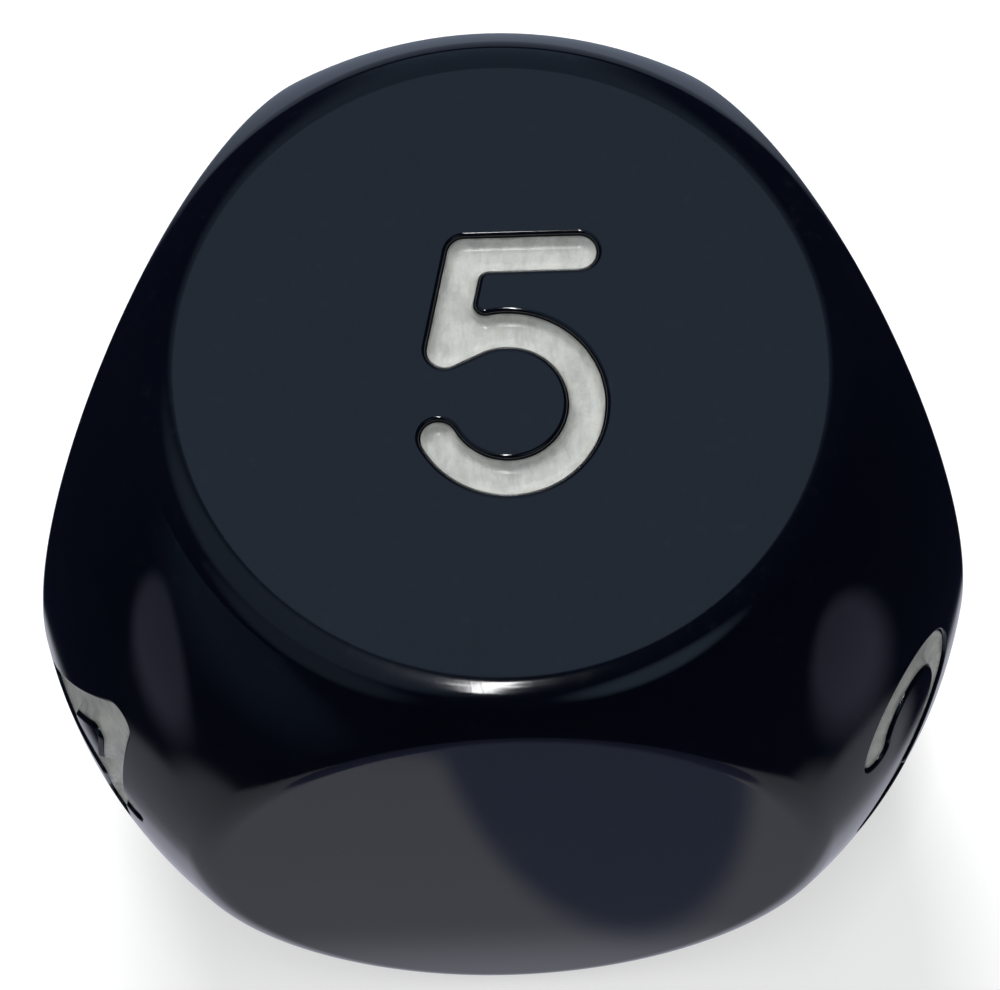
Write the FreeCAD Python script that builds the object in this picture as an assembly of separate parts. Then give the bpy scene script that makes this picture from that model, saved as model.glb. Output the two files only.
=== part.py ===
import FreeCAD, Part
import math
import os

# Five-sided numbered die in one piece of polished resin, with its engraved numerals filled with
# paint. Units are millimetres and +Z is up. The origin is the centre of the die. The 5 is on the
# flat end at +Z and the 1 is on the flat end at -Z. The three blank side flats face the azimuths
# in SIDE_FLAT_AZIMUTHS, and each rounded corner opposite one of them carries the 2, the 3 or
# the 4, read with +Z up.

# Driving dimensions of the body.
CORNER_RADIUS = 10.25        # from the axis to a rounded corner, at mid height
SIDE_FLAT_DISTANCE = 7.8     # from the axis to each side flat
HALF_THICKNESS = 9.4         # from the centre to each end flat
END_FLAT_RADIUS = 6.7        # round outline of each end flat
EDGE_RADIUS = 1.05           # tumbled rounding along every edge
SIDE_FLAT_AZIMUTHS = (-90.0, 30.0, 150.0)

# Driving dimensions of the engraving.
NUMERAL_HEIGHT = 5.75        # over the outside of the stroke
STROKE_WIDTH = 0.8
JUNCTION_RADIUS = 0.22       # rounding of the sharp corners where strokes meet
GROOVE_DEPTH = 0.45
PAINT_RECESS = 0.15          # how far the dried paint lies below the polished surface
END_5_OFFSET = (0.25, 0.05)      # the engraver's offsets, to the reader's right and upwards
CORNER_OFFSET = (-0.25, 0.95)

# Centre line of a stroke at the top and at the bottom of a numeral.
TOP = (NUMERAL_HEIGHT - STROKE_WIDTH) / 2
BOTTOM = -TOP

PARTS_FOLDER = "parts"
REACH = 2 * (CORNER_RADIUS + HALF_THICKNESS)  # longer than the die in any direction
TOLERANCE = 1e-4
SHARP = math.radians(5.0)    # faces that meet at less than this angle run on smoothly
AXIS_START = FreeCAD.Vector(0, 0, 0)
AXIS_DIRECTION = FreeCAD.Vector(0, 0, 1)


def point(x, y):
    return FreeCAD.Vector(x, y, 0)


def on_circle(centre, radius, degrees):
    angle = math.radians(degrees)
    return point(centre[0] + radius * math.cos(angle), centre[1] + radius * math.sin(angle))


def arc(centre, radius, start, end):
    """An arc that runs clockwise from start to end, both in degrees, with end below start."""
    middle = (start + end) / 2
    ends = [on_circle(centre, radius, degrees) for degrees in (start, middle, end)]
    return Part.Arc(*ends).toShape()


def line(*corners):
    """Straight edges through the corners, in order."""
    ends = [point(*corner) for corner in corners]
    return [Part.makeLine(first, second) for first, second in zip(ends, ends[1:])]


# Each numeral is a list of strokes, and each stroke is a list of edges along its centre line.
# x runs to the reader's right and y upwards, from the middle of the numeral.


def numeral_1():
    stem_x = 0.2
    flag_reach = 1.15
    return [line((stem_x - flag_reach, TOP - flag_reach), (stem_x, TOP), (stem_x, BOTTOM))]


def numeral_2():
    radius = 1.42
    centre = (0.05, TOP - radius)
    hook_start = 165.0
    hook_end = -38.0
    foot_left = -1.4
    foot_right = 1.45
    leave = on_circle(centre, radius, hook_end)
    hook = arc(centre, radius, hook_start, hook_end)
    foot = line((leave.x, leave.y), (foot_left, BOTTOM), (foot_right, BOTTOM))
    return [[hook] + foot]


def numeral_3():
    waist = 0.16
    bowl_x = 0.05
    tongue_length = 0.5
    top_start = 158.0
    bottom_end = -156.0
    upper = (TOP - waist) / 2
    lower = (waist - BOTTOM) / 2
    top_bowl = arc((bowl_x, waist + upper), upper, top_start, -90.0)
    tongue = line((bowl_x, waist), (bowl_x - tongue_length, waist))
    bottom_bowl = arc((bowl_x, waist - lower), lower, 90.0, bottom_end)
    return [[top_bowl] + tongue, [bottom_bowl]]


def numeral_4():
    stem_x = 0.78
    bar_y = -1.1
    bar_left = -1.8
    bar_right = 1.45
    diagonal_and_bar = line((stem_x, TOP), (bar_left, bar_y), (bar_right, bar_y))
    stem = line((stem_x, TOP), (stem_x, BOTTOM))
    return [diagonal_and_bar, stem]


def numeral_5():
    radius = 1.625
    centre = (-0.12, BOTTOM + radius)
    bar_left = -0.91
    bar_right = 1.445
    foot = (-1.385, 0.36)
    bowl_end = -153.0
    # The bowl leaves the stem's foot along a tangent of its circle.
    reach = math.dist(foot, centre)
    bearing = math.degrees(math.atan2(foot[1] - centre[1], foot[0] - centre[0]))
    touch = bearing - math.degrees(math.acos(radius / reach))
    join = on_circle(centre, radius, touch)
    bar_and_stem = line((bar_right, TOP), (bar_left, TOP), foot)
    bowl = line(foot, (join.x, join.y)) + [arc(centre, radius, touch, bowl_end)]
    return [bar_and_stem, bowl]


def capsule(start, end):
    """Outline of one straight stroke with round ends."""
    along = (end - start).normalize() * (STROKE_WIDTH / 2)
    across = FreeCAD.Vector(-along.y, along.x, 0)
    return Part.Wire([
        Part.makeLine(start + across, end + across),
        Part.Arc(end + across, end + along, end - across).toShape(),
        Part.makeLine(end - across, start - across),
        Part.Arc(start - across, start - along, start + across).toShape()])


def stroke_outline(edges):
    """Outline of a stroke with round ends, half a stroke's width from its centre line."""
    if len(edges) == 1 and isinstance(edges[0].Curve, Part.Line):
        return capsule(edges[0].Vertexes[0].Point, edges[0].Vertexes[1].Point)
    return Part.Wire(edges).makeOffset2D(STROKE_WIDTH / 2)


def is_upright(edge):
    return abs(edge.tangentAt(edge.FirstParameter).dot(AXIS_DIRECTION)) > 1 - TOLERANCE


def is_sharp(edge, solid):
    """Whether the two faces at this edge meet at an angle."""
    middle = edge.valueAt((edge.FirstParameter + edge.LastParameter) / 2)
    faces = solid.ancestorsOfType(edge, Part.Face)
    first, second = [face.normalAt(*face.Surface.parameter(middle)) for face in faces]
    return first.getAngle(second) > SHARP


def round_junctions(prism):
    """Fillet the upright corners of a numeral: with round stroke ends, all of them are inner ones."""
    corners = [edge for edge in prism.Edges if is_upright(edge) and is_sharp(edge, prism)]
    return prism.makeFillet(JUNCTION_RADIUS, corners) if corners else prism


def outline_prism(strokes, low, high):
    """The inked shape of a numeral as a prism from z = low to z = high."""
    solids = []
    for edges in strokes:
        face = Part.Face(stroke_outline(edges))
        face.translate(FreeCAD.Vector(0, 0, low))
        solids.append(face.extrude(FreeCAD.Vector(0, 0, high - low)))
    prism = solids[0]
    if len(solids) > 1:
        prism = prism.fuse(solids[1:]).removeSplitter()
    return round_junctions(prism)


def place(shape, right, up, offset=(0.0, 0.0)):
    """Turn a shape from the reader's frame (x right, y up, z outwards) into the die's frame."""
    outwards = right.cross(up)
    moved = shape.copy()
    moved.translate(FreeCAD.Vector(offset[0], offset[1], 0))
    moved.Placement = FreeCAD.Placement(FreeCAD.Matrix(
        right.x, up.x, outwards.x, 0,
        right.y, up.y, outwards.y, 0,
        right.z, up.z, outwards.z, 0,
        0, 0, 0, 1)).multiply(moved.Placement)
    return moved


def barrel(inset):
    """The round body before its side flats, with every surface moved in by inset."""
    core_corner = CORNER_RADIUS - EDGE_RADIUS
    core_half = HALF_THICKNESS - EDGE_RADIUS
    arc_centre = (core_corner**2 - END_FLAT_RADIUS**2 - core_half**2) / (
        2 * (core_corner - END_FLAT_RADIUS))
    arc_radius = CORNER_RADIUS - arc_centre - inset
    half = HALF_THICKNESS - inset
    rim = arc_centre + math.sqrt(arc_radius**2 - half**2)
    # The profile lies at azimuth -90, so that its seam falls on a side flat.
    corners = [FreeCAD.Vector(0, -r, z) for r, z in
               ((0, -half), (rim, -half), (arc_centre + arc_radius, 0), (rim, half), (0, half))]
    profile = Part.Wire([
        Part.makeLine(corners[0], corners[1]),
        Part.Arc(corners[1], corners[2], corners[3]).toShape(),
        Part.makeLine(corners[3], corners[4]),
        Part.makeLine(corners[4], corners[0])])
    return Part.Face(profile).revolve(AXIS_START, AXIS_DIRECTION, 360)


def blank_body():
    """The whole body without its numerals: a trimmed core, grown evenly by the edge radius."""
    core = barrel(EDGE_RADIUS)
    for azimuth in SIDE_FLAT_AZIMUTHS:
        waste = Part.makeBox(REACH, REACH, REACH)
        waste.translate(FreeCAD.Vector(SIDE_FLAT_DISTANCE - EDGE_RADIUS, -REACH / 2, -REACH / 2))
        waste.rotate(AXIS_START, AXIS_DIRECTION, azimuth)
        core = core.cut(waste)
    core = core.removeSplitter().Solids[0]
    return core.makeOffsetShape(EDGE_RADIUS, TOLERANCE)


def end_numeral(strokes, side, offset):
    """Groove and paint of a numeral on the end flat at side = +1 (top) or -1 (bottom)."""
    right = FreeCAD.Vector(side, 0, 0)
    up = FreeCAD.Vector(0, 1, 0)
    floor = HALF_THICKNESS - GROOVE_DEPTH
    groove = outline_prism(strokes, floor, HALF_THICKNESS + GROOVE_DEPTH)
    paint = outline_prism(strokes, floor, HALF_THICKNESS - PAINT_RECESS)
    return place(groove, right, up, offset), place(paint, right, up, offset)


def corner_numeral(strokes, azimuth):
    """Groove and paint of a numeral on the rounded corner at this azimuth, with +Z up."""
    angle = math.radians(azimuth)
    right = FreeCAD.Vector(-math.sin(angle), math.cos(angle), 0)
    up = FreeCAD.Vector(0, 0, 1)
    column = place(outline_prism(strokes, SIDE_FLAT_DISTANCE, REACH), right, up, CORNER_OFFSET)
    groove = column.cut(barrel(GROOVE_DEPTH))
    paint = groove.common(barrel(PAINT_RECESS))
    return groove, paint


def export(shape, node):
    solids = shape.Solids
    assert len(solids) == 1 and shape.isValid(), node
    solids[0].exportStep(os.path.join(PARTS_FOLDER, node + ".step"))


def main():
    os.makedirs(PARTS_FOLDER, exist_ok=True)
    numerals = {
        "numeral_1_paint": end_numeral(numeral_1(), -1, (0.0, 0.0)),
        "numeral_2_paint": corner_numeral(numeral_2(), 330.0),
        "numeral_3_paint": corner_numeral(numeral_3(), 90.0),
        "numeral_4_paint": corner_numeral(numeral_4(), 210.0),
        "numeral_5_paint": end_numeral(numeral_5(), 1, END_5_OFFSET),
    }
    body = blank_body()
    for node, (groove, paint) in numerals.items():
        body = body.cut(groove)
        export(paint, node)
    export(body, "die_body")


main()
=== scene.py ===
import math

import bmesh
import bpy
import numpy as np
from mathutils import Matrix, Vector


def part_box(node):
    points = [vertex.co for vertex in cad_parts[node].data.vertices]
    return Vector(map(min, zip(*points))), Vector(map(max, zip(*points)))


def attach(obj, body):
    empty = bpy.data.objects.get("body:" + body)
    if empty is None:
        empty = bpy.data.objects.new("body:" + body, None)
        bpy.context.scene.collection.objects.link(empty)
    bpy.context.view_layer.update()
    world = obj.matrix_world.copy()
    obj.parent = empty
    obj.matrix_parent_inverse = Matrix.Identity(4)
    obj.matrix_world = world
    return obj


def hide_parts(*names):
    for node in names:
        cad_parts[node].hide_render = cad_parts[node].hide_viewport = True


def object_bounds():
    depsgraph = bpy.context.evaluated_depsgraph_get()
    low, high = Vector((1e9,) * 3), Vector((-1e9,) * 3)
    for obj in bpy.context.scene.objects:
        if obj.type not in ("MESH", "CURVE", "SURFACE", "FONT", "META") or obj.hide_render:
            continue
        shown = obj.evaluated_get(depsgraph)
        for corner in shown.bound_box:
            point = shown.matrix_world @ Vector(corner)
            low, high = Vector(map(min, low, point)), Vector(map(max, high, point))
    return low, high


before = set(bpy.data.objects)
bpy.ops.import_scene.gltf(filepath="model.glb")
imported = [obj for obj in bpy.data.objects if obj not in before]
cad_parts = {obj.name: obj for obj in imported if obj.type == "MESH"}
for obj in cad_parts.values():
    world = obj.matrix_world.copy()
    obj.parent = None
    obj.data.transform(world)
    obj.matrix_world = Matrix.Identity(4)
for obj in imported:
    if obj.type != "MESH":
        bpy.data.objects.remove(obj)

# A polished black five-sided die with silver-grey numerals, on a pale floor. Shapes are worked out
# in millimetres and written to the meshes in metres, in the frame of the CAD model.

cad_low, cad_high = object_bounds()

MM = 0.001

# The body, from the frame where the frame shows it.
body_low, body_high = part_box("die_body")
HALF_THICKNESS = body_high.z / MM
CORNER_RADIUS = body_high.y / MM
SIDE_FLAT_DISTANCE = -body_low.y / MM
END_FLAT_RADIUS = 6.7
EDGE_RADIUS = 1.05
SIDE_FLAT_AZIMUTHS = (-90.0, 30.0, 150.0)

# The engraving.
NUMERAL_HEIGHT = 5.75
STROKE_HALF = 0.4            # half the width of a stroke
JUNCTION_RADIUS = 0.22       # rounding of the sharp corners where strokes meet
GROOVE_DEPTH = 0.45
LIP_RADIUS = 0.09            # rounding of the groove's upper edge
WALL_LEAN = 0.03             # how far a wall's foot lies inside its top
PAINT_EDGE_DEPTH = 0.08      # how far the paint lies below the surface at the groove's walls
PAINT_HOLLOW = 0.2           # how much lower it lies along the middle of a stroke
PAINT_GAP = 0.004            # between the paint's underside and the groove's floor
END_5_OFFSET = (0.25, 0.05)  # the engraver's offsets, to the reader's right and upwards
CORNER_OFFSET = (-0.25, 0.95)
TOP = NUMERAL_HEIGHT / 2 - STROKE_HALF
BOTTOM = -TOP

# The mesh, in millimetres and degrees.
GRID_STEPS = 44              # cells along each edge of the cube that the mesh starts as
LANDING_STEPS = 12           # rounds that bring the cube's points down onto the body
BEND_LIMIT = 6.0             # sharpest bend that one edge may span
REFINE_PASSES = 4
STROKE_ZONE = 0.7            # this close to a stroke's centre line, edges are shorter than
STROKE_EDGE = 0.16           # this
BISECTIONS = 20              # rounds that find where an edge crosses an outline
CURVE_POINTS = 400           # points along each curve that is searched for fillet centres
SMOOTH_ANGLE = 5.0           # strokes that meet at less than this angle need no fillet
FAR = 100.0                  # stands for the distance of a numeral on another side of the die
SNAP = 1e-3                  # closer than this to an outline counts as on it
TINY = 1e-9                  # stands in for a radius of zero in a division

# The camera, in degrees and millimetres, and how far its picture is shifted, as shares of its width.
CAMERA_AZIMUTH = -1.8
CAMERA_ELEVATION = 69.5
CAMERA_DISTANCE = 132.0
CAMERA_LENS = 216.0
CAMERA_SENSOR = 36.0
CAMERA_SHIFT = (-0.0005, 0.0315)


# ---------------------------------------------------------------- shape of the blank body

CORE_CORNER = CORNER_RADIUS - EDGE_RADIUS
CORE_HALF = HALF_THICKNESS - EDGE_RADIUS
CORE_SIDE = SIDE_FLAT_DISTANCE - EDGE_RADIUS
ARC_CENTRE = (CORE_CORNER**2 - END_FLAT_RADIUS**2 - CORE_HALF**2) / (
    2 * (CORE_CORNER - END_FLAT_RADIUS))
ARC_RADIUS = CORE_CORNER - ARC_CENTRE
SIDE_NORMALS = np.array([(math.cos(math.radians(azimuth)), math.sin(math.radians(azimuth)), 0.0)
                         for azimuth in SIDE_FLAT_AZIMUTHS])


def into_barrel(points):
    """Nearest points of the round barrel that the core is cut from."""
    radius = np.hypot(points[:, 0], points[:, 1])
    reach = np.hypot(radius - ARC_CENTRE, points[:, 2])
    shrink = np.minimum(1.0, ARC_RADIUS / reach)
    new_radius = ARC_CENTRE + (radius - ARC_CENTRE) * shrink
    out = points * shrink[:, None]
    out[:, :2] = points[:, :2] * (new_radius / np.maximum(radius, TINY))[:, None]
    return out


def into_slab(points):
    """Nearest points between the core's two end planes."""
    out = points.copy()
    out[:, 2] = np.clip(out[:, 2], -CORE_HALF, CORE_HALF)
    return out


def into_half_space(normal):
    """A function that finds the nearest points on the inner side of a side flat of the core."""
    def project(points):
        excess = np.maximum(points @ normal - CORE_SIDE, 0.0)
        return points - excess[:, None] * normal
    return project


CORE_SURFACES = [into_barrel, into_slab] + [into_half_space(normal) for normal in SIDE_NORMALS]


def nearest_in_core(points, rounds=60, settled=1e-8):
    """Nearest points of the die's core, by Dykstra's alternating projections."""
    found = points.copy()
    pulls = np.zeros((len(CORE_SURFACES), *points.shape))
    active = np.arange(len(points))
    for _ in range(rounds):
        before = found[active]
        place = before.copy()
        for i, project in enumerate(CORE_SURFACES):
            pushed = place + pulls[i, active]
            place = project(pushed)
            pulls[i, active] = pushed - place
        found[active] = place
        active = active[np.abs(place - before).max(axis=1) > settled]
        if not len(active):
            break
    return found


def onto_body(points):
    """Nearest points on the blank body and its outward normals there."""
    core = nearest_in_core(points)
    away = points - core
    normals = away / np.linalg.norm(away, axis=1)[:, None]
    return core + EDGE_RADIUS * normals, normals


def flat_margin(points):
    """Above zero on the end flats and side flats, zero on their outlines, below zero elsewhere."""
    radius = np.hypot(points[:, 0], points[:, 1])
    outwards = points @ SIDE_NORMALS.T
    side_reach = outwards.max(axis=1)
    across = np.sqrt(np.maximum(radius**2 - side_reach**2, 0.0))
    core_radius = np.hypot(CORE_SIDE, across)
    end = END_FLAT_RADIUS - radius
    side = np.minimum(CORE_HALF - np.abs(points[:, 2]),
                      ARC_RADIUS - np.hypot(core_radius - ARC_CENTRE, points[:, 2]))
    return np.where(side_reach > CORE_SIDE, np.maximum(end, side), end)


def barrel_margin(points):
    """Above zero on the three round corners, zero where the edge rounding starts."""
    core = into_barrel(points)
    side_reach = (core @ SIDE_NORMALS.T).max(axis=1)
    return np.minimum(CORE_HALF - np.abs(core[:, 2]), CORE_SIDE - side_reach)


# ---------------------------------------------------------------- numerals as strokes

# A stroke is ("line", start, end) or ("arc", centre, radius, start angle, end angle). x runs to the
# reader's right and y upwards, from the middle of the numeral.


def on_circle(centre, radius, degrees):
    angle = math.radians(degrees)
    return (centre[0] + radius * math.cos(angle), centre[1] + radius * math.sin(angle))


def line(*corners):
    """Straight strokes through the corners, in order."""
    return [("line", start, end) for start, end in zip(corners, corners[1:])]


def arc(centre, radius, start, end):
    """Clockwise from start to end, in degrees."""
    return [("arc", centre, radius, start, end)]


def numeral_1():
    stem_x = 0.2
    flag_reach = 1.15
    return line((stem_x - flag_reach, TOP - flag_reach), (stem_x, TOP), (stem_x, BOTTOM))


def numeral_2():
    radius = 1.42
    centre = (0.05, TOP - radius)
    hook_start = 165.0
    hook_end = -38.0
    foot_left = -1.4
    foot_right = 1.45
    leave = on_circle(centre, radius, hook_end)
    foot = line(leave, (foot_left, BOTTOM), (foot_right, BOTTOM))
    return arc(centre, radius, hook_start, hook_end) + foot


def numeral_3():
    waist = 0.16
    bowl_x = 0.05
    tongue_length = 0.5
    top_start = 158.0
    bottom_end = -156.0
    upper = (TOP - waist) / 2
    lower = (waist - BOTTOM) / 2
    top_bowl = arc((bowl_x, waist + upper), upper, top_start, -90.0)
    tongue = line((bowl_x, waist), (bowl_x - tongue_length, waist))
    bottom_bowl = arc((bowl_x, waist - lower), lower, 90.0, bottom_end)
    return top_bowl + tongue + bottom_bowl


def numeral_4():
    stem_x = 0.78
    bar_y = -1.1
    bar_left = -1.8
    bar_right = 1.45
    diagonal_and_bar = line((stem_x, TOP), (bar_left, bar_y), (bar_right, bar_y))
    stem = line((stem_x, TOP), (stem_x, BOTTOM))
    return diagonal_and_bar + stem


def numeral_5():
    radius = 1.625
    centre = (-0.12, BOTTOM + radius)
    bar_left = -0.91
    bar_right = 1.445
    foot = (-1.385, 0.36)
    bowl_end = -153.0
    # The bowl leaves the stem's foot along a tangent of its circle.
    reach = math.dist(foot, centre)
    bearing = math.degrees(math.atan2(foot[1] - centre[1], foot[0] - centre[0]))
    touch = bearing - math.degrees(math.acos(radius / reach))
    bar_and_stem = line((bar_right, TOP), (bar_left, TOP), foot)
    bowl = line(foot, on_circle(centre, radius, touch)) + arc(centre, radius, touch, bowl_end)
    return bar_and_stem + bowl


def distance_to_line(x, y, start, end):
    along = np.subtract(end, start)
    length = np.hypot(*along)
    along = along / length
    t = np.clip((x - start[0]) * along[0] + (y - start[1]) * along[1], 0.0, length)
    return np.hypot(x - start[0] - t * along[0], y - start[1] - t * along[1])


def distance_to_arc(x, y, centre, radius, start, end):
    middle = math.radians((start + end) / 2)
    half_span = math.radians(abs(start - end) / 2)
    turn = np.arctan2(y - centre[1], x - centre[0]) - middle
    turn = (turn + math.pi) % (2 * math.pi) - math.pi
    turn = middle + np.clip(turn, -half_span, half_span)
    return np.hypot(x - centre[0] - radius * np.cos(turn), y - centre[1] - radius * np.sin(turn))


def distance_to_stroke(x, y, stroke):
    kind, *shape = stroke
    measure = distance_to_line if kind == "line" else distance_to_arc
    return measure(x, y, *shape)


def distance_to_strokes(x, y, strokes):
    """Distance from the nearest centre line of a numeral, in its own plane."""
    return np.min([distance_to_stroke(x, y, stroke) for stroke in strokes], axis=0)


def curves_beside(stroke, reach):
    """Both parallel curves of a stroke and the circles round its ends, as rows of points."""
    kind, *shape = stroke
    share = np.linspace(0.0, 1.0, CURVE_POINTS)
    if kind == "line":
        start, end = np.array(shape)
        across = np.array((start[1] - end[1], end[0] - start[0])) / math.dist(start, end)
        middle = start + share[:, None] * (end - start)
        sides = [middle + reach * across, middle - reach * across]
    else:
        centre, radius, first, last = shape
        turn = np.radians(first + share * (last - first))
        spokes = np.column_stack([np.cos(turn), np.sin(turn)])
        middle = centre + radius * spokes
        sides = [centre + (radius + reach) * spokes, centre + (radius - reach) * spokes]
    circle = np.column_stack([np.cos(2 * math.pi * share), np.sin(2 * math.pi * share)]) * reach
    return sides + [middle[0] + circle, middle[-1] + circle]


def towards_stroke(place, stroke):
    """Unit direction from a place to the nearest point of a stroke's centre line."""
    step = 1e-5
    x, y = place
    across = distance_to_stroke(x - step, y, stroke) - distance_to_stroke(x + step, y, stroke)
    upwards = distance_to_stroke(x, y - step, stroke) - distance_to_stroke(x, y + step, stroke)
    return np.array((across, upwards)) / np.hypot(across, upwards)


def junction_fillets(strokes):
    """Centres of the fillets in a numeral's inner corners, each with the way to both strokes."""
    reach = STROKE_HALF + JUNCTION_RADIUS
    fillets = []
    for i, first in enumerate(strokes):
        for second in strokes[i + 1:]:
            for curve in curves_beside(first, reach):
                gap = distance_to_stroke(*curve.T, second) - reach
                for k in np.flatnonzero(gap[:-1] * gap[1:] < 0):
                    share = gap[k] / (gap[k] - gap[k + 1])
                    centre = curve[k] + share * (curve[k + 1] - curve[k])
                    ways = [towards_stroke(centre, stroke) for stroke in (first, second)]
                    meets = distance_to_strokes(*centre, strokes) > reach - SNAP
                    if meets and ways[0] @ ways[1] < math.cos(math.radians(SMOOTH_ANGLE)):
                        fillets.append((centre, np.array(ways)))
    return fillets


def fill_junctions(x, y, found, fillets):
    """Distances with the inner corners filled out to their fillets."""
    reach = STROKE_HALF + JUNCTION_RADIUS
    for centre, ways in fillets:
        away = np.column_stack([x - centre[0], y - centre[1]])
        filled = np.maximum(reach - np.hypot(*away.T), 0.0)
        between = (away @ np.linalg.inv(ways) > 0).all(axis=1)
        inside = between & (away @ ways.T < reach).all(axis=1)
        found = np.where(inside, np.minimum(found, filled), found)
    return found


class Numeral:
    """A numeral's strokes with the place it is engraved in, seen by a reader facing it."""

    def __init__(self, digit, strokes, right, up, offset=(0.0, 0.0)):
        self.name = f"numeral_{digit}_paint"
        self.strokes = strokes
        self.fillets = junction_fillets(strokes)
        self.right = np.array(right, float)
        self.up = np.array(up, float)
        self.outwards = np.cross(self.right, self.up)
        self.offset = offset

    def distance(self, points):
        """Distance of points on the body from the nearest centre line of this numeral."""
        x = points @ self.right - self.offset[0]
        y = points @ self.up - self.offset[1]
        found = distance_to_strokes(x, y, self.strokes)
        found = fill_junctions(x, y, found, self.fillets)
        facing = points @ self.outwards > SIDE_FLAT_DISTANCE
        return np.where(facing, found, FAR)


def corner_numeral(digit, strokes, azimuth):
    """A numeral on the rounded corner at this azimuth, read with +Z up."""
    angle = math.radians(azimuth)
    right = (-math.sin(angle), math.cos(angle), 0.0)
    return Numeral(digit, strokes, right, (0.0, 0.0, 1.0), CORNER_OFFSET)


NUMERALS = [
    Numeral(1, numeral_1(), (-1.0, 0.0, 0.0), (0.0, 1.0, 0.0)),
    corner_numeral(2, numeral_2(), 330.0),
    corner_numeral(3, numeral_3(), 90.0),
    corner_numeral(4, numeral_4(), 210.0),
    Numeral(5, numeral_5(), (1.0, 0.0, 0.0), (0.0, 1.0, 0.0), END_5_OFFSET),
]


# ---------------------------------------------------------------- meshes


def edge_table(triangles):
    """The mesh's edges, and the three edges of each triangle: a-b, b-c and c-a."""
    ends = np.sort(triangles[:, [[0, 1], [1, 2], [2, 0]]].reshape(-1, 2), axis=1)
    keys = ends[:, 0] * (triangles.max() + 1) + ends[:, 1]
    _, first, of_triangle = np.unique(keys, return_index=True, return_inverse=True)
    return ends[first], of_triangle.reshape(-1, 3)


def split_triangles(triangles, of_triangle, new_vertex):
    """Split each triangle at its edges' new vertices; new_vertex is -1 for an edge left whole."""
    added = new_vertex[of_triangle]
    count = (added >= 0).sum(axis=1)
    # Turn the triangles so that a lone new vertex lies on a-b, or a lone whole edge is b-c.
    turn = np.where(count == 1, (added >= 0).argmax(axis=1), 0)
    turn = np.where(count == 2, ((added < 0).argmax(axis=1) + 2) % 3, turn)
    order = (turn[:, None] + np.arange(3)) % 3
    a, b, c = np.take_along_axis(triangles, order, axis=1).T
    ab, bc, ca = np.take_along_axis(added, order, axis=1).T
    patterns = {
        0: ((a, b, c),),
        1: ((a, ab, c), (ab, b, c)),
        2: ((a, ab, ca), (ab, b, c), (ab, c, ca)),
        3: ((a, ab, ca), (ab, b, bc), (ca, bc, c), (ab, bc, ca)),
    }
    parts = []
    for new_count, pattern in patterns.items():
        chosen = count == new_count
        parts += [np.column_stack([column[chosen] for column in corners]) for corners in pattern]
    return np.vstack(parts)


def add_vertices(points, triangles, edges, of_triangle, marked, shares):
    """Split the marked edges at these shares of their length."""
    start, end = points[edges[marked]].transpose(1, 0, 2)
    fresh, _ = onto_body(start + shares[:, None] * (end - start))
    new_vertex = np.full(len(edges), -1)
    new_vertex[marked] = len(points) + np.arange(len(fresh))
    return np.vstack([points, fresh]), split_triangles(triangles, of_triangle, new_vertex)


def start_mesh():
    """A closed triangle mesh on the blank body, from a gridded cube drawn onto it."""
    bm = bmesh.new()
    bmesh.ops.create_cube(bm, size=2.0)
    bmesh.ops.subdivide_edges(bm, edges=bm.edges[:], cuts=GRID_STEPS - 1, use_grid_fill=True)
    bmesh.ops.triangulate(bm, faces=bm.faces[:])
    cube = np.array([vertex.co for vertex in bm.verts], float)
    triangles = np.array([[vertex.index for vertex in face.verts] for face in bm.faces])
    bm.free()
    # The tangent spreads the grid's points more evenly. They start well outside the body.
    directions = np.tan(cube * math.pi / 4)
    directions /= np.linalg.norm(directions, axis=1)[:, None]
    points = directions * 3 * CORNER_RADIUS
    for _ in range(LANDING_STEPS):
        away = points - nearest_in_core(points)
        gap = np.linalg.norm(away, axis=1)
        slope = np.einsum("ij,ij->i", away / gap[:, None], directions)
        points -= ((gap - EDGE_RADIUS) / slope)[:, None] * directions
    return onto_body(points)[0], triangles


def cut_along(points, triangles, measure, level):
    """Add edges to the mesh where measure(points) equals level."""
    edges, of_triangle = edge_table(triangles)
    value = measure(points) - level
    value[np.abs(value) < SNAP] = 0.0
    marked = value[edges[:, 0]] * value[edges[:, 1]] < 0
    low, high = points[edges[marked]].transpose(1, 0, 2)
    low_value, high_value = value[edges[marked]].T
    # Close in on the crossing from both ends of each edge.
    low_share, high_share = np.zeros(len(low)), np.ones(len(low))
    for _ in range(BISECTIONS):
        share = (low_share + high_share) / 2
        middle = measure(low + share[:, None] * (high - low)) - level
        same_side = middle * low_value > 0
        low_share = np.where(same_side, share, low_share)
        high_share = np.where(same_side, high_share, share)
    return add_vertices(points, triangles, edges, of_triangle, marked, share)


def refine(points, triangles):
    """Halve edges where the surface bends and near the strokes, until they are short enough."""
    for _ in range(REFINE_PASSES):
        edges, of_triangle = edge_table(triangles)
        _, normals = onto_body(points)
        turn = np.einsum("ij,ij->i", normals[edges[:, 0]], normals[edges[:, 1]])
        length = np.linalg.norm(points[edges[:, 0]] - points[edges[:, 1]], axis=1)
        nearest = np.min([numeral.distance(points) for numeral in NUMERALS], axis=0)
        near = nearest < STROKE_ZONE
        close = near[edges].any(axis=1) & (length > STROKE_EDGE)
        marked = close | (turn < math.cos(math.radians(BEND_LIMIT)))
        if not marked.any():
            break
        halves = np.full(marked.sum(), 0.5)
        points, triangles = add_vertices(points, triangles, edges, of_triangle, marked, halves)
    return points, triangles


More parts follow.
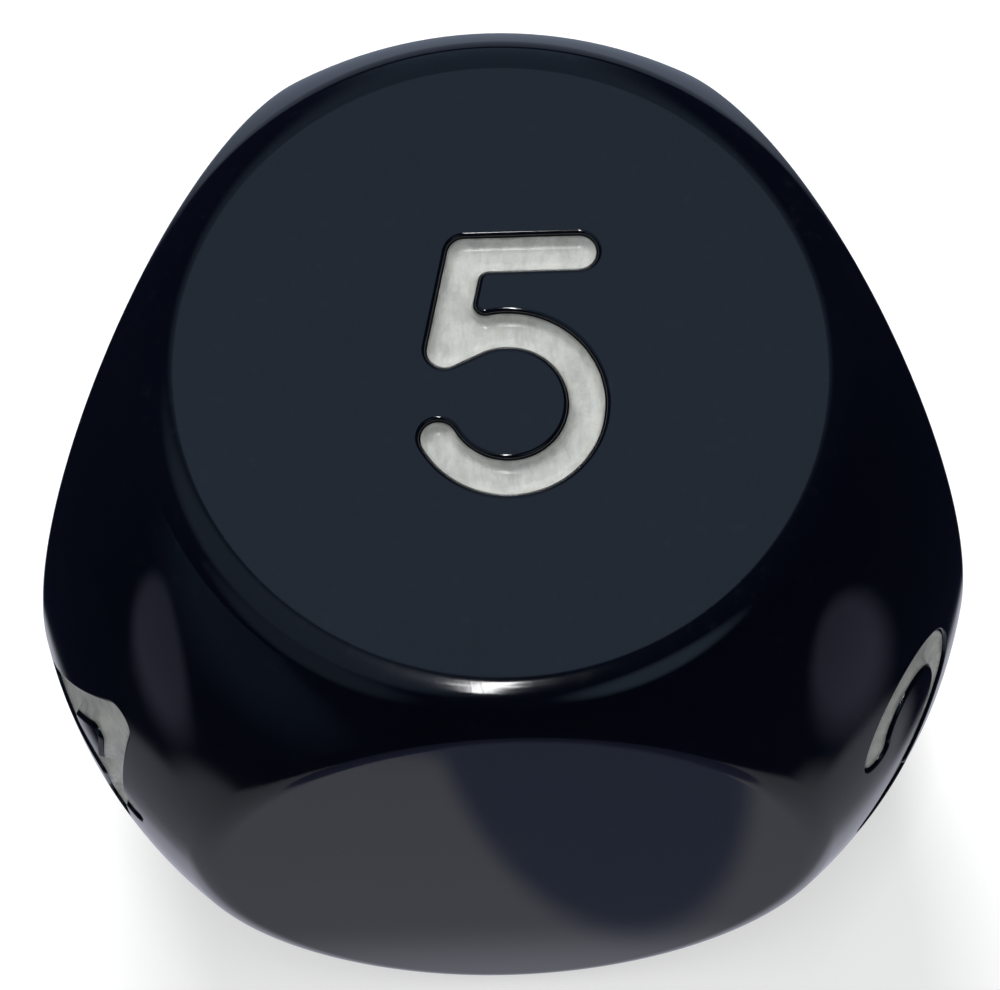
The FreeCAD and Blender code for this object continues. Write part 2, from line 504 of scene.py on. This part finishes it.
# Distances from a stroke's centre line: where the groove's lip starts to turn down, where its floor
# and the paint end, and where the mesh is cut along the stroke, round the lip and across the paint.
LIP_START = STROKE_HALF + LIP_RADIUS
FLOOR_EDGE = STROKE_HALF - WALL_LEAN
LIP_CUTS = [LIP_START - LIP_RADIUS * math.sin(math.radians(turn)) for turn in (0, 22, 44, 66, 90)]
PAINT_CUTS = [FLOOR_EDGE * share for share in (1.0, 0.9, 0.75, 0.5)]


def groove_depth(distance):
    """Depth below the blank surface: a rounded lip, a steep wall and a flat floor."""
    across = np.clip(LIP_START - distance, 0.0, LIP_RADIUS)
    lip = LIP_RADIUS - np.sqrt(LIP_RADIUS**2 - across**2)
    wall = np.clip((STROKE_HALF - distance) / WALL_LEAN, 0.0, 1.0) * (GROOVE_DEPTH - LIP_RADIUS)
    return lip + wall


def paint_depth(distance):
    """Depth of the paint's top: a nearly level hollow that climbs steeply at the walls."""
    share = np.clip(distance / FLOOR_EDGE, 0.0, 1.0)
    return PAINT_EDGE_DEPTH + PAINT_HOLLOW * (1 - share**4)


def tilted_normals(points, normals, numeral, depth):
    """Normals of the surface that lies depth(distance) below the blank surface."""
    step = 1e-3
    slope = np.zeros_like(points)
    for axis in np.eye(3):
        ahead = depth(numeral.distance(points + step * axis))
        behind = depth(numeral.distance(points - step * axis))
        slope += ((ahead - behind) / (2 * step))[:, None] * axis
    slope -= np.einsum("ij,ij->i", slope, normals)[:, None] * normals
    tilted = normals + slope
    return tilted / np.linalg.norm(tilted, axis=1)[:, None]


def finish_piece(name, points, faces, normals, node, material):
    """Make a mesh object of the piece in metres and tie it to the frame."""
    mesh = bpy.data.meshes.new(name)
    mesh.from_pydata((points * MM).tolist(), [], faces.tolist())
    mesh.shade_smooth()
    mesh.normals_split_custom_set_from_vertices(normals.tolist())
    mesh.materials.append(material)
    piece = bpy.data.objects.new(name, mesh)
    bpy.context.scene.collection.objects.link(piece)
    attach(piece, "root")
    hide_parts(node)
    return piece


def engraved_mesh():
    """The blank body's points, normals and triangles, with edges along every outline on it."""
    points, triangles = start_mesh()
    points, triangles = cut_along(points, triangles, flat_margin, 0.0)
    points, triangles = cut_along(points, triangles, barrel_margin, 0.0)
    points, triangles = refine(points, triangles)
    for numeral in NUMERALS:
        for level in LIP_CUTS + PAINT_CUTS:
            points, triangles = cut_along(points, triangles, numeral.distance, level)
    points, normals = onto_body(points)
    return points, normals, triangles


def build_body(points, normals, triangles, material):
    """The die with its grooves: the blank body's points, sunk where a numeral is engraved."""
    sunk = points.copy()
    shading = normals.copy()
    for numeral in NUMERALS:
        distance = numeral.distance(points)
        touched = distance < LIP_START + SNAP
        sunk[touched] -= groove_depth(distance[touched])[:, None] * normals[touched]
        shading[touched] = tilted_normals(points[touched], normals[touched], numeral,
                                          groove_depth)
    finish_piece("die_body_polished", sunk, triangles, shading, "die_body", material)


def build_paint(points, normals, triangles, numeral, material):
    """The paint of one numeral: its top hugs the groove walls, its underside is the floor."""
    inside = numeral.distance(points) < FLOOR_EDGE + SNAP
    kept = triangles[inside[triangles].all(axis=1)]
    used, top_faces = np.unique(kept, return_inverse=True)
    top_faces = top_faces.reshape(-1, 3)
    base, up = points[used], normals[used]
    distance = numeral.distance(base)
    top = base - paint_depth(distance)[:, None] * up
    floor = base - (GROOVE_DEPTH - PAINT_GAP) * up
    count = len(used)
    directed = top_faces[:, [[0, 1], [1, 2], [2, 0]]].reshape(-1, 2)
    pairs = {tuple(pair) for pair in directed.tolist()}
    rim = np.array([pair for pair in directed.tolist() if (pair[1], pair[0]) not in pairs])
    first, second = rim.T
    walls = np.vstack([np.column_stack([first, first + count, second + count]),
                       np.column_stack([first, second + count, second])])
    faces = np.vstack([top_faces, top_faces[:, ::-1] + count, walls])
    shading = np.vstack([tilted_normals(base, up, numeral, paint_depth), -up])
    piece = finish_piece(f"{numeral.name}_fill", np.vstack([top, floor]), faces, shading,
                         numeral.name, material)
    # The paint's material reads how close each place is to the edge of the stroke.
    edge = piece.data.attributes.new("edge", "FLOAT", "POINT")
    edge.data.foreach_set("value", np.tile(distance / FLOOR_EDGE, 2))


# ---------------------------------------------------------------- materials

RESIN_DARK = (0.0008, 0.0013, 0.0035)
RESIN_LIGHT = (0.0018, 0.0024, 0.0055)
RESIN_DUST = (0.012, 0.013, 0.017)
RESIN_ROUGHNESS = 0.05
RESIN_IOR = 1.5
PAINT_DARK = (0.34, 0.35, 0.335)
PAINT_LIGHT = (0.46, 0.475, 0.455)
PAINT_WARM = (0.47, 0.46, 0.42)
# Dark colour at the paint's edges: thin paint over black resin, together with painted shade from the
# groove's walls.
PAINT_THIN_AND_SHADED = (0.10, 0.10, 0.10)
PAINT_COAT = 0.35
PAINT_COAT_ROUGHNESS = 0.16


class Graph:
    """A node tree that is built by plain calls; a value is a number, a tuple or another socket."""

    def __init__(self, tree):
        self.nodes = tree.nodes
        self.links = tree.links

    def feed(self, socket, value):
        if isinstance(value, bpy.types.NodeSocket):
            self.links.new(value, socket)
        elif isinstance(value, tuple) and socket.type == "RGBA" and len(value) == 3:
            socket.default_value = (*value, 1.0)
        else:
            socket.default_value = value

    def add(self, kind, inputs, **settings):
        node = self.nodes.new(kind)
        for name, value in settings.items():
            setattr(node, name, value)
        for name, value in inputs.items():
            self.feed(node.inputs[name], value)
        return node

    def math(self, operation, first, second=0.0):
        node = self.add("ShaderNodeMath", {0: first, 1: second}, operation=operation)
        return node.outputs[0]

    def vector(self, operation, first, second=(0.0, 0.0, 0.0)):
        node = self.add("ShaderNodeVectorMath", {0: first, 1: second}, operation=operation)
        scalar = operation in ("LENGTH", "DOT_PRODUCT")
        return node.outputs["Value" if scalar else "Vector"]

    def ramp(self, value, start, end, low=0.0, high=1.0):
        """A smooth step of value from low at start to high at end."""
        node = self.add("ShaderNodeMapRange", {"Value": value, "From Min": start, "From Max": end,
                                               "To Min": low, "To Max": high},
                        interpolation_type="SMOOTHSTEP")
        return node.outputs["Result"]

    def noise(self, place, grain, detail=2.0, roughness=0.5):
        """Noise from 0 to 1 with features about grain millimetres across."""
        node = self.add("ShaderNodeTexNoise", {"Vector": place, "Scale": 1.0 / (grain * MM),
                                               "Detail": detail, "Roughness": roughness})
        return node.outputs["Fac"]

    def blend(self, share, first, second):
        """The colour first where share is 0 and second where it is 1."""
        node = self.add("ShaderNodeMix", {}, data_type="RGBA")
        # A mix node has sockets for each type of value; 6, 7 and output 2 are those for colours.
        self.feed(node.inputs[0], share)
        self.feed(node.inputs[6], first)
        self.feed(node.inputs[7], second)
        return node.outputs[2]

    def bump(self, height, depth, normal=None):
        """A normal bent by a height from 0 to 1 that stands for depth millimetres."""
        inputs = {"Height": height, "Distance": depth * MM, "Strength": 1.0}
        if normal is not None:
            inputs["Normal"] = normal
        return self.add("ShaderNodeBump", inputs).outputs["Normal"]


def new_material(name):
    """A new material with its node graph and its main shader."""
    material = bpy.data.materials.new(name)
    material.use_nodes = True
    graph = Graph(material.node_tree)
    return material, graph, graph.nodes["Principled BSDF"]


def scratches(graph, place, tilt, grain):
    """Fine straight scratches: thin crests of a noise that is drawn out along one direction."""
    stretch = (1.0, 0.03, 1.0)
    crest_width = 0.012
    turned = graph.add("ShaderNodeMapping", {"Vector": place, "Rotation": tilt, "Scale": stretch})
    noise = graph.noise(turned.outputs["Vector"], grain, detail=1.0)
    crest = graph.math("ABSOLUTE", graph.math("SUBTRACT", noise, 0.5))
    return graph.ramp(crest, 0.0, crest_width, low=1.0, high=0.0)


def black_resin():
    """Tumbled and polished black resin: glossy, faintly wavy, with hairline scratches and smudges."""
    material, graph, shader = new_material("polished_black_resin")
    place = graph.add("ShaderNodeTexCoord", {}).outputs["Object"]
    cloud = graph.noise(place, grain=3.5, detail=3.0)
    mottle = graph.noise(place, grain=0.35, detail=4.0, roughness=0.65)
    smudge = graph.ramp(graph.noise(place, grain=5.0, detail=4.0, roughness=0.6), 0.45, 0.7)
    hairlines = graph.math("MAXIMUM", scratches(graph, place, tilt=(0.3, 0.2, 0.6), grain=0.9),
                           scratches(graph, place, tilt=(0.1, -0.3, -0.9), grain=1.3))
    scratched = graph.ramp(graph.noise(place, grain=2.2), 0.5, 0.62)
    sparse = graph.math("MULTIPLY", hairlines, scratched)

    body = graph.blend(cloud, RESIN_DARK, RESIN_LIGHT)
    dusty = graph.math("MULTIPLY", graph.ramp(mottle, 0.55, 0.8), 0.2)
    graph.feed(shader.inputs["Base Color"], graph.blend(dusty, body, RESIN_DUST))

    roughness = RESIN_ROUGHNESS
    for mark, added in ((smudge, 0.05), (mottle, 0.03), (sparse, 0.04)):
        roughness = graph.math("ADD", roughness, graph.math("MULTIPLY", mark, added))
    graph.feed(shader.inputs["Roughness"], roughness)

    wavy = graph.bump(cloud, depth=0.004)
    pitted = graph.bump(mottle, depth=0.0004, normal=wavy)
    graph.feed(shader.inputs["Normal"], graph.bump(sparse, depth=0.0002, normal=pitted))
    shader.inputs["IOR"].default_value = RESIN_IOR
    return material


def silver_paint():
    """Silver-grey paint brushed into the grooves: streaky, grainy, and darker at its edges, partly
    where it is thinner and partly as painted shade from the groove's walls.
    """
    material, graph, shader = new_material("silver_grey_paint")
    place = graph.add("ShaderNodeTexCoord", {}).outputs["Object"]
    edge = graph.add("ShaderNodeAttribute", {}, attribute_name="edge").outputs["Fac"]
    drawn_out = graph.add("ShaderNodeMapping", {"Vector": place, "Scale": (1.0, 0.35, 1.0)})
    streak = graph.noise(drawn_out.outputs["Vector"], grain=0.22, detail=3.0, roughness=0.6)
    blotch = graph.noise(place, grain=0.5, detail=3.0, roughness=0.55)
    grain = graph.noise(place, grain=0.05, detail=3.0, roughness=0.7)

    paint = graph.blend(graph.ramp(streak, 0.3, 0.7), PAINT_DARK, PAINT_LIGHT)
    paint = graph.blend(graph.ramp(blotch, 0.35, 0.75, high=0.45), paint, PAINT_WARM)
    # Darker along a ragged line at the stroke's edges: partly the black resin showing through where
    # the paint thins out, partly painted shade where the groove's walls shade the paint.
    ragged = graph.math("ADD", edge, graph.math("MULTIPLY", blotch, 0.25))
    paint = graph.blend(graph.ramp(ragged, 1.02, 1.16, high=0.75), paint, PAINT_THIN_AND_SHADED)
    graph.feed(shader.inputs["Base Color"], paint)
    graph.feed(shader.inputs["Roughness"], graph.ramp(grain, 0.2, 0.8, low=0.28, high=0.52))
    graph.feed(shader.inputs["Metallic"], graph.ramp(grain, 0.55, 0.75, high=0.35))

    shader.inputs["Coat Weight"].default_value = PAINT_COAT
    shader.inputs["Coat Roughness"].default_value = PAINT_COAT_ROUGHNESS

    flowed = graph.bump(blotch, depth=0.05)
    brushed = graph.bump(streak, depth=0.022, normal=flowed)
    graph.feed(shader.inputs["Normal"], graph.bump(grain, depth=0.004, normal=brushed))
    return material


# ---------------------------------------------------------------- stage, light and camera

# The camera and matt surfaces see a plain pale floor in even white light. Whatever is glossy mirrors
# a dark room instead, with these glows in it.
DARK_ROOM = (0.004, 0.006, 0.014)
CEILING_GLOW = (0.37, 0.51, 0.67)
FLOOR_GLOW = (0.225, 0.23, 0.265)
FLOOR_FAR_GLOW = (0.17, 0.20, 0.26)
FLOOR_SHADE = (0.07, 0.085, 0.135)
FLOOR_DUSK = (0.05, 0.06, 0.11)
FLOOR_HAZE = (0.05, 0.08, 0.12)
LEAF_GLOW = (0.16, 0.17, 0.24)

FLOOR_HALF = 1000.0          # from the floor's middle to its edges
FLOOR_GAP = 0.02             # keeps the floor clear of the flat that the die rests on
FLOOR_COLOUR = (0.5, 0.5, 0.5)
FLOOR_ROUGHNESS = 0.9
FLOOR_OWN_LIGHT = 0.55

# Ovals of the mirrored floor, each laid over those before it: colour, centre, half lengths, turn in
# degrees and softness of the outline. Lengths are in millimetres and the front is at -y.
UNDER_DIE = (13.2, 13.2)
FLOOR_PATCHES = (
    (FLOOR_FAR_GLOW, (0.0, 75.0), (32.0, 66.0), 0.0, 0.1),     # behind the die
    (FLOOR_HAZE, (-85.0, -45.0), (45.0, 35.0), 0.0, 0.4),      # far out at the front left
    (FLOOR_GLOW, (-1.0, -15.0), (19.5, 8.5), 0.0, 0.1),        # in front of the die
    (FLOOR_GLOW, (-14.5, -8.5), (4.0, 4.0), 0.0, 0.25),        # and on to both sides
    (FLOOR_GLOW, (14.5, -8.5), (4.5, 4.0), 0.0, 0.25),
    (FLOOR_DUSK, (1.0, -20.4), (10.0, 7.2), 0.0, 0.02),        # darker again in its middle
    (FLOOR_GLOW, (0.0, 0.0), UNDER_DIE, 0.0, 0.06),            # under and close round the die
    (DARK_ROOM, (-19.0, 7.0), (7.0, 10.0), 0.0, 0.1),          # dark on both sides of it
    (DARK_ROOM, (19.0, 7.0), (7.0, 10.0), 0.0, 0.1),
    (FLOOR_SHADE, (2.0, -14.2), (3.5, 5.4), -19.0, 0.1),       # the round shade in the front flat
    (LEAF_GLOW, (-37.0, -12.0), (14.0, 5.0), 0.0, 0.25),       # the leaf shapes above the corners
    (LEAF_GLOW, (34.0, -14.0), (14.0, 5.5), -20.0, 0.3),
)

# The mirrored floor gets brighter towards the foot of the die, between these two values of y.
FOOT_START = -9.4
FOOT_FULL = -8.0
FOOT_RISE = 1.2
FOOT_SOFTNESS = 0.1

DAYLIGHT_COLOUR = (0.95, 0.97, 1.0)
DAYLIGHT = 0.35
BACKDROP_LIGHT = 0.5         # added where the camera sees the world itself

# The mirrored sky. The ceiling's glow lies where the upper end flat mirrors it to the camera: it
# starts and is full at these angles from there. The band lies behind the die: it starts and is full
# at these shares of the way along y, and fades out between these shares of the way along x.
CEILING_ANGLES = (10.0, 6.0)
BAND_RISE = (0.2, 0.4)
BAND_SIDES = (0.1, 0.35)
BAND_LEVEL = 0.5

# Round glows of the mirrored sky: the way to each, the cosines at which it starts and is full, and
# its level.
SKY_GLOWS = (
    ((-0.42, -0.16, 0.9), 0.85, 0.95, 0.5),
    ((-0.68, -0.6, 0.42), 0.88, 0.98, 0.35),
    ((0.46, -0.61, 0.64), 0.93, 0.99, 0.8),
)

KEY_PLACE = (-50.0, 210.0, 220.0)
KEY_SIZE = (140.0, 140.0)
KEY_POWER = 1.0

# Lamps overhead that make the glint on the front rim: name, x, lean towards the front in degrees,
# and width and length in millimetres. Their power is in watts per square millimetre.
LAMP_DISTANCE = 300.0
LAMP_POWER = 1.4e-4
LAMPS = (
    ("lamp_strip", -9.0, 12.0, (12.0, 130.0)),
    ("lamp_left", -21.0, 10.0, (3.0, 20.0)),
    ("lamp_right", 4.0, 10.0, (3.0, 20.0)),
)


def oval(graph, place, centre, reach, degrees=0.0, softness=0.25):
    """1 inside an oval on the floor, in millimetres, falling to 0 just outside it."""
    middle = (centre[0] * MM, centre[1] * MM, 0.0)
    local = graph.vector("SUBTRACT", place, middle)
    turned = graph.add("ShaderNodeVectorRotate", {"Vector": local,
                                                  "Angle": math.radians(-degrees)},
                       rotation_type="Z_AXIS").outputs["Vector"]
    scale = (1.0 / (reach[0] * MM), 1.0 / (reach[1] * MM), 0.0)
    return graph.ramp(graph.vector("LENGTH", graph.vector("MULTIPLY", turned, scale)),
                      1.0 - softness, 1.0 + softness, low=1.0, high=0.0)


def floor_in_the_mirror(graph):
    """The shader of the floor as the polished resin mirrors it."""
    place = graph.add("ShaderNodeNewGeometry", {}).outputs["Position"]
    colour = DARK_ROOM
    for patch_colour, centre, reach, degrees, softness in FLOOR_PATCHES:
        patch = oval(graph, place, centre, reach, degrees, softness)
        colour = graph.blend(patch, colour, patch_colour)
    depth = graph.vector("DOT_PRODUCT", place, (0.0, 1.0, 0.0))
    foot = graph.math("MULTIPLY", graph.ramp(depth, FOOT_START * MM, FOOT_FULL * MM),
                      oval(graph, place, (0.0, 0.0), UNDER_DIE, softness=FOOT_SOFTNESS))
    strength = graph.math("ADD", graph.math("MULTIPLY", foot, FOOT_RISE), 1.0)
    return graph.add("ShaderNodeEmission", {"Color": colour, "Strength": strength}).outputs[0]


def build_floor():
    """A plain pale floor; mirrored in the die it is dimmer, and dark away from the die."""
    mesh = bpy.data.meshes.new("floor")
    half = FLOOR_HALF * MM
    z = cad_low[2] - FLOOR_GAP * MM
    mesh.from_pydata([(-half, -half, z), (half, -half, z), (half, half, z), (-half, half, z)],
                     [], [(0, 1, 2, 3)])
    floor = bpy.data.objects.new("floor", mesh)
    bpy.context.scene.collection.objects.link(floor)
    material, graph, shader = new_material("pale_floor")
    graph.feed(shader.inputs["Base Color"], FLOOR_COLOUR)
    graph.feed(shader.inputs["Emission Color"], (1.0, 1.0, 1.0))
    shader.inputs["Emission Strength"].default_value = FLOOR_OWN_LIGHT
    shader.inputs["Roughness"].default_value = FLOOR_ROUGHNESS
    in_mirror = graph.add("ShaderNodeLightPath", {}).outputs["Is Glossy Ray"]
    surface = graph.add("ShaderNodeMixShader", {0: in_mirror, 1: shader.outputs[0],
                                                2: floor_in_the_mirror(graph)})
    graph.links.new(surface.outputs[0], graph.nodes["Material Output"].inputs["Surface"])
    mesh.materials.append(material)


def sky_in_the_mirror(graph):
    """The shader of the world as the polished resin mirrors it."""
    way = graph.add("ShaderNodeTexCoord", {}).outputs["Generated"]
    azimuth = math.radians(CAMERA_AZIMUTH)
    zenith = math.radians(90.0 - CAMERA_ELEVATION)
    mirror = (-math.sin(azimuth) * math.sin(zenith), math.cos(azimuth) * math.sin(zenith),
              math.cos(zenith))
    start, full = [math.cos(math.radians(angle)) for angle in CEILING_ANGLES]
    ceiling = graph.ramp(graph.vector("DOT_PRODUCT", way, mirror), start, full)
    along = graph.vector("DOT_PRODUCT", way, (0.0, 1.0, 0.0))
    across = graph.math("ABSOLUTE", graph.vector("DOT_PRODUCT", way, (1.0, 0.0, 0.0)))
    band = graph.math("MULTIPLY", graph.ramp(along, *BAND_RISE),
                      graph.ramp(across, *BAND_SIDES, low=BAND_LEVEL, high=0.0))
    share = graph.math("MAXIMUM", ceiling, band)
    for towards, start, full, level in SKY_GLOWS:
        glow = graph.ramp(graph.vector("DOT_PRODUCT", way, towards), start, full, high=level)
        share = graph.math("MAXIMUM", share, glow)
    room = graph.blend(share, DARK_ROOM, CEILING_GLOW)
    return graph.add("ShaderNodeBackground", {"Color": room}).outputs[0]


def build_world():
    """Even white light for the matt surfaces; the polished ones mirror a dark room."""
    world = bpy.data.worlds.new("studio")
    bpy.context.scene.world = world
    world.use_nodes = True
    graph = Graph(world.node_tree)
    daylight = graph.nodes["Background"]
    graph.feed(daylight.inputs["Color"], DAYLIGHT_COLOUR)
    rays = graph.add("ShaderNodeLightPath", {})
    backdrop = graph.math("MULTIPLY", rays.outputs["Is Camera Ray"], BACKDROP_LIGHT)
    graph.feed(daylight.inputs["Strength"], graph.math("ADD", backdrop, DAYLIGHT))
    surface = graph.add("ShaderNodeMixShader", {0: rays.outputs["Is Glossy Ray"],
                                                1: daylight.outputs[0],
                                                2: sky_in_the_mirror(graph)})
    graph.links.new(surface.outputs[0], graph.nodes["World Output"].inputs["Surface"])


def soft_box(name, place, size, power, mirrored):
    """An area light in millimetres that faces the die's centre, mirrored in the polish or not."""
    light = bpy.data.lights.new(name, "AREA")
    light.shape = "RECTANGLE"
    light.size, light.size_y = [side * MM for side in size]
    light.energy = power
    lamp = bpy.data.objects.new(name, light)
    lamp.location = Vector(place) * MM
    lamp.rotation_euler = Vector(place).to_track_quat("Z", "Y").to_euler()
    lamp.visible_glossy = mirrored
    bpy.context.scene.collection.objects.link(lamp)


def build_lights():
    """A large soft key light that the polish doesn't mirror, and the lamps that it does."""
    soft_box("key", KEY_PLACE, KEY_SIZE, KEY_POWER, False)
    for name, x, lean, size in LAMPS:
        angle = math.radians(lean)
        place = (x, -LAMP_DISTANCE * math.sin(angle), LAMP_DISTANCE * math.cos(angle))
        soft_box(name, place, size, LAMP_POWER * size[0] * size[1], True)


def build_camera():
    """The camera looks at the die's centre from the front and well above."""
    azimuth = math.radians(CAMERA_AZIMUTH)
    elevation = math.radians(CAMERA_ELEVATION)
    towards_camera = Vector((math.sin(azimuth) * math.cos(elevation),
                             -math.cos(azimuth) * math.cos(elevation), math.sin(elevation)))
    camera = bpy.data.cameras.new("camera")
    camera.lens = CAMERA_LENS
    camera.sensor_width = CAMERA_SENSOR
    camera.shift_x, camera.shift_y = CAMERA_SHIFT
    camera.clip_start = 0.01
    camera.clip_end = 10.0
    holder = bpy.data.objects.new("camera", camera)
    holder.location = towards_camera * CAMERA_DISTANCE * MM
    holder.rotation_euler = towards_camera.to_track_quat("Z", "Y").to_euler()
    bpy.context.scene.collection.objects.link(holder)
    bpy.context.scene.camera = holder


def main():
    resin = black_resin()
    paint = silver_paint()
    surface = engraved_mesh()
    build_body(*surface, resin)
    for numeral in NUMERALS:
        build_paint(*surface, numeral, paint)
    build_floor()
    build_world()
    build_lights()
    build_camera()
    bpy.context.scene.view_settings.view_transform = "Standard"


main()
